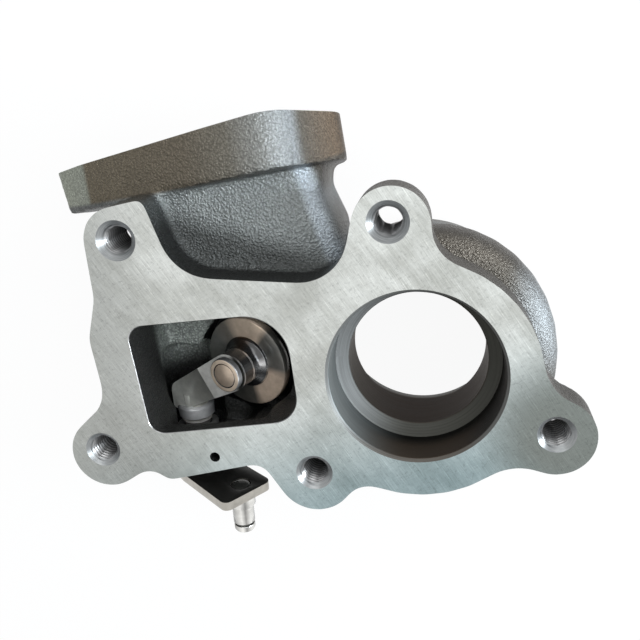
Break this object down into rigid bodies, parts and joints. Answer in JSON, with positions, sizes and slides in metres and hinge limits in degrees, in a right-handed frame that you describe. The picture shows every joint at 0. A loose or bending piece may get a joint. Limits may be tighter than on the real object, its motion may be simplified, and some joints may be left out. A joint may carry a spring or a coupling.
{
  "type": "turbocharger turbine housing",
  "caption": "Cast turbine housing with a bore, scroll, inlet neck with flange, outlet flange with tapped ears and a wastegate valve on a shaft with a crank lever.",
  "frame": {"origin": "on the turbine axis, in the face of the clamp flange towards the bearing housing", "axes": "+Z along the turbine axis out of the outlet, +Y towards the inlet flange, +X away from the wastegate chamber"},
  "size_m": [0.1495, 0.1233, 0.054],
  "materials": {
    "cast_iron": "sand cast and shot blasted, machined faces ground",
    "forged_steel": "ground and turned",
    "bright_steel": "turned bright"
  },
  "bodies": {
    "housing": {"turbine_housing": "cast_iron", "wastegate_bush": "bright_steel"},
    "wastegate": {"wastegate_arm": "forged_steel", "crank_lever": "forged_steel", "crank_pin": "bright_steel"},
    "valve": {"wastegate_valve": "forged_steel", "valve_washer": "bright_steel"}
  },
  "joints": [
    {"name": "wastegate_swing", "type": "hinge", "parent": "housing", "child": "wastegate", "pos_m": [-0.06629, -0.00653, 0.02981], "axis": [0.0429, -0.9943, -0.0972], "range_deg": [0, 28]},
    {"name": "valve_spin", "type": "hinge", "parent": "wastegate", "child": "valve", "pos_m": [-0.049, -0.006, 0.032], "axis": [-0.4013, -0.1063, 0.9098], "continuous": true}
  ]
}
